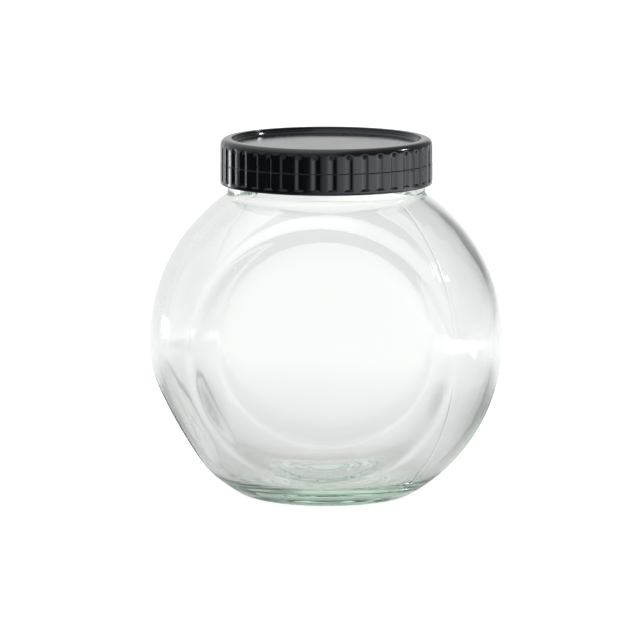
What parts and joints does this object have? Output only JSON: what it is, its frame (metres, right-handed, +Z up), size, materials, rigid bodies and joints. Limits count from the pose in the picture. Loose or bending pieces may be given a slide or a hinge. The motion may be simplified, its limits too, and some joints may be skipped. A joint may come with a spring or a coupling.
{
  "type": "coin bank jar",
  "caption": "Round clear glass jar with flattened front and back, a flat base and a second tilted resting face, closed by a ribbed dark plastic screw lid.",
  "frame": {"origin": "middle of the base plane, where the jar stands upright", "axes": "+Z up along the neck and the lid; the flattened front faces -Y and the back +Y; the tilted resting face is on the -X side"},
  "size_m": [0.17, 0.119, 0.1733],
  "materials": {
    "clear_glass": "clear, slightly green, fire-polished",
    "slate_plastic": "dark slate grey, glossy, moulded",
    "liner_board": "off-white foam liner"
  },
  "bodies": {
    "jar": {"glass_jar": "clear_glass"},
    "liner": {"lid_liner": "liner_board"},
    "lid": {"screw_lid": "slate_plastic"}
  },
  "joints": [
    {"name": "lid_lift", "type": "slide", "parent": "jar", "child": "liner", "axis": [0, 0, 1], "range_m": [0, 0.0254]},
    {"name": "lid_turn", "type": "hinge", "parent": "liner", "child": "lid", "pos_m": [0, 0, 0.1514], "axis": [0, 0, 1], "range_deg": [0, 1800]}
  ],
  "couplings": [
    {"joint": "lid_lift", "follows": "lid_turn", "m_per_rad": 0.00080851}
  ]
}
